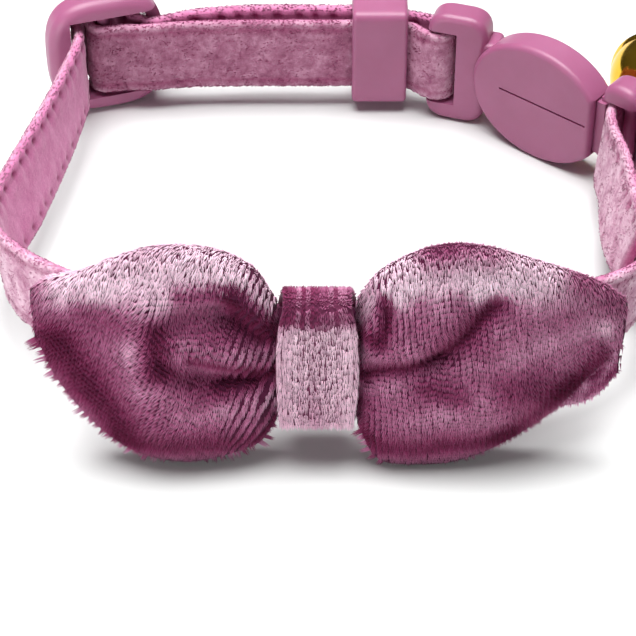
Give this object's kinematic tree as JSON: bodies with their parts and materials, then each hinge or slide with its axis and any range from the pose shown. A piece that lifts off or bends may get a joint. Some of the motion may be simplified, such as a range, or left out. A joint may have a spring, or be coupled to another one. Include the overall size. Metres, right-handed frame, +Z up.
{
  "type": "cat collar",
  "caption": "Narrow velvet breakaway cat collar, closed in a loop, with a folded velvet bow, a plastic slider, keeper and oval snap buckle, and a small round bell.",
  "frame": {"origin": "middle of the collar's bounding box, on the surface that the collar stands on", "axes": "+Z up, +X to the right along the bow as seen from the front, -Y toward the bow's side, +Y toward the back of the neck"},
  "size_m": [0.0878, 0.0752, 0.0271],
  "materials": {
    "velvet_tape": "short pile velvet, matt, with a light sheen",
    "velvet_bow": "ribbed velvet pile, light where it is brushed, dark where it stands",
    "velvet_band": "ribbed velvet pile, woven rows showing",
    "mauve_plastic": "satin moulded",
    "gold_metal": "polished, gold coloured"
  },
  "bodies": {
    "root": {"strap": "velvet_tape", "slider": "mauve_plastic", "keeper_loop": "mauve_plastic", "buckle_socket": "mauve_plastic", "buckle_plug": "mauve_plastic", "bow": "velvet_bow", "bow_band": "velvet_band", "bell": "gold_metal", "bell_ring": "gold_metal"}
  },
  "joints": []
}
